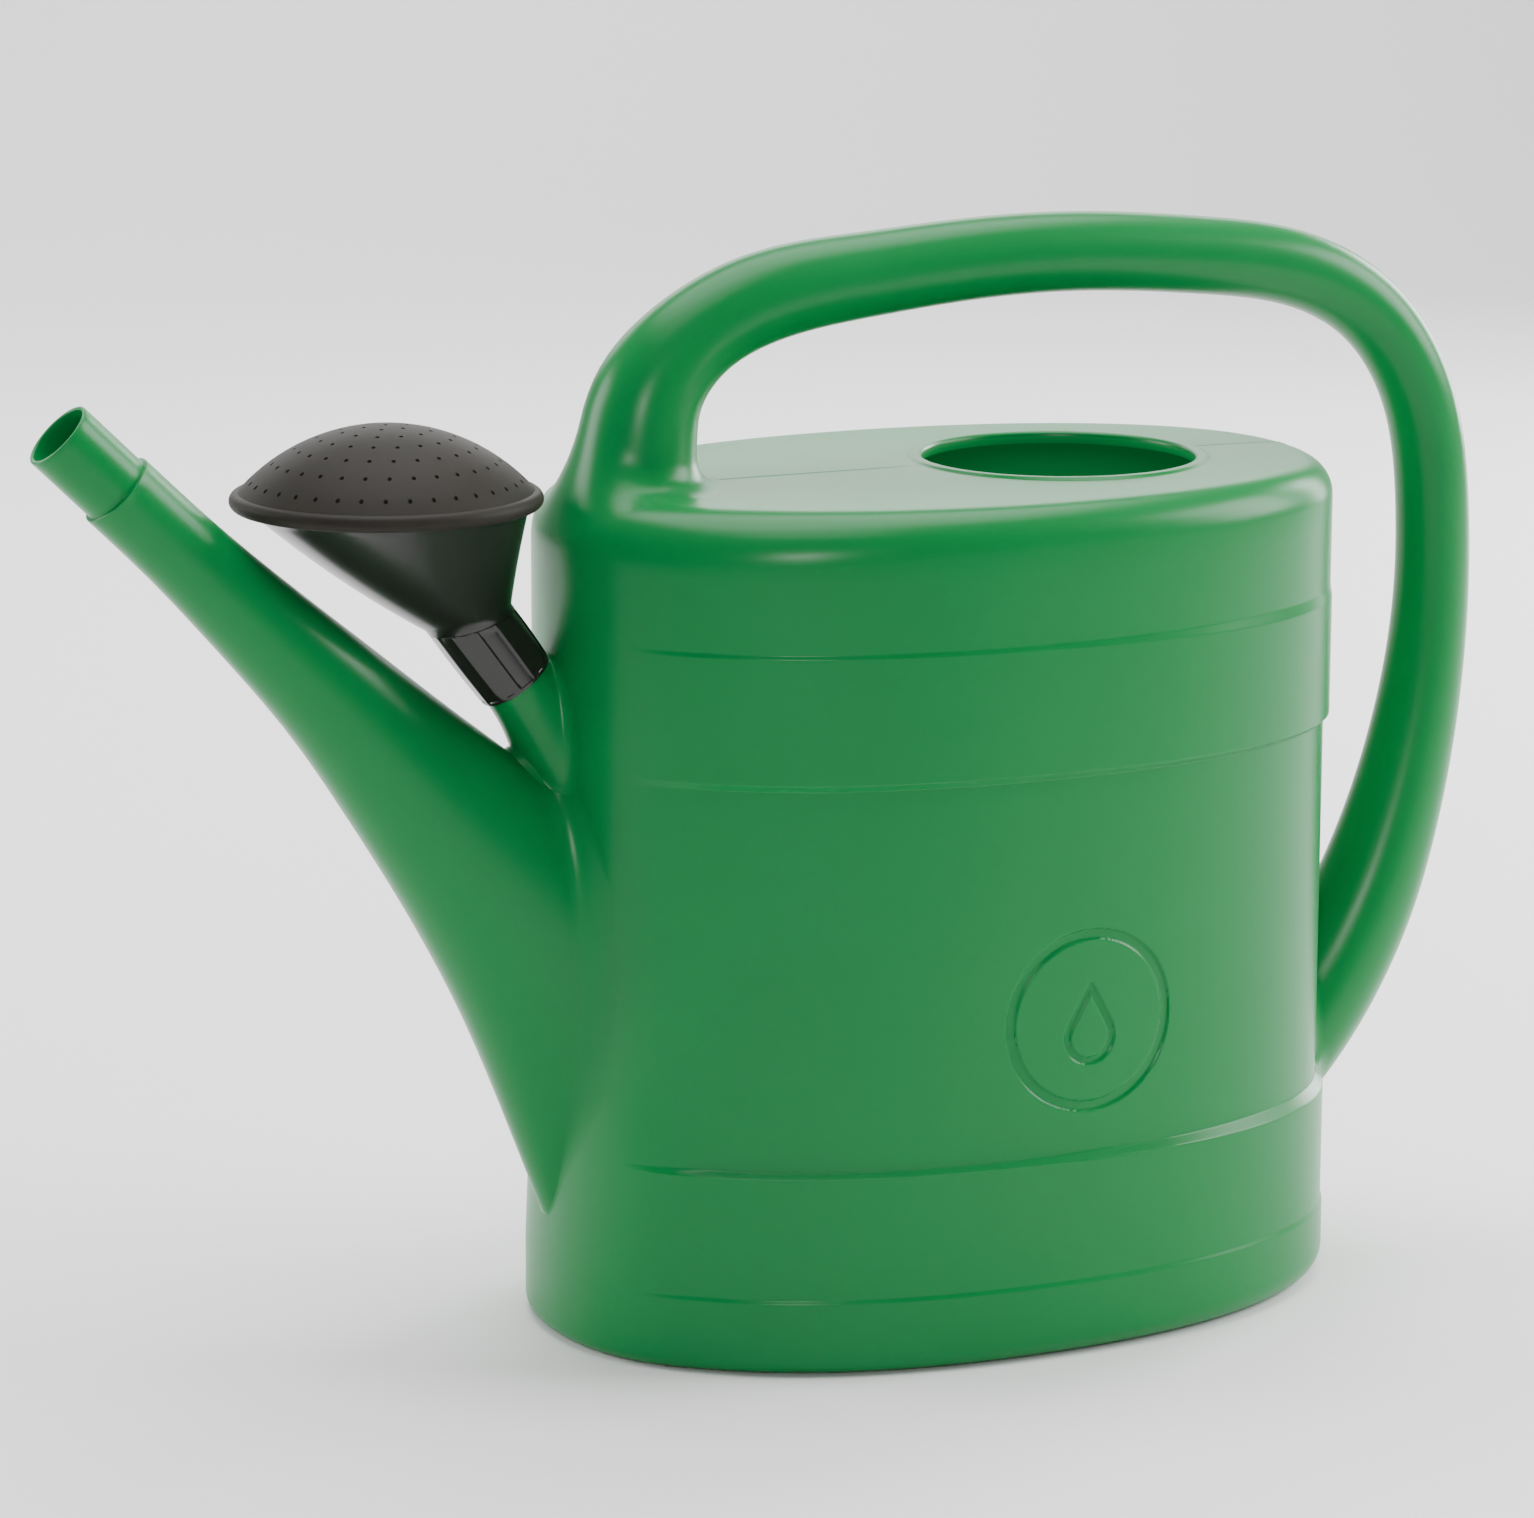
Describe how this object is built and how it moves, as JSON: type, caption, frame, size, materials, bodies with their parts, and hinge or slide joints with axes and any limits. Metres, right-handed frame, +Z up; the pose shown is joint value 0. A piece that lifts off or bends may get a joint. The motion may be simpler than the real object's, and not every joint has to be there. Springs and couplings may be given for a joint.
{
  "type": "watering can",
  "caption": "Green blow-moulded garden watering can with a curved spout, loop handle, open fill hole and a domed sprinkler rose parked on a peg.",
  "frame": {"origin": "middle of the tank's base, on the ground plane", "axes": "+Z up; +X towards the rear of the handle, the spout points to -X; the can is symmetrical about the plane y = 0"},
  "size_m": [0.5158, 0.186, 0.3662],
  "materials": {
    "can_plastic": "semi-gloss green polyethylene, as blown",
    "funnel_plastic": "smooth black, moulded",
    "face_plastic": "fine matt dark grey, moulded"
  },
  "bodies": {
    "can": {"tank": "can_plastic", "spout": "can_plastic", "handle": "can_plastic", "rose_peg": "can_plastic"},
    "rose": {"rose_funnel": "funnel_plastic"},
    "rose_face": {"rose_face": "face_plastic"}
  },
  "joints": [
    {"name": "rose_pull", "type": "slide", "parent": "can", "child": "rose", "axis": [-0.5906, 0, 0.807], "range_m": [0, 0.05]},
    {"name": "rose_face_pull", "type": "slide", "parent": "rose", "child": "rose_face", "axis": [0, 0, 1], "range_m": [0, 0.02]}
  ]
}
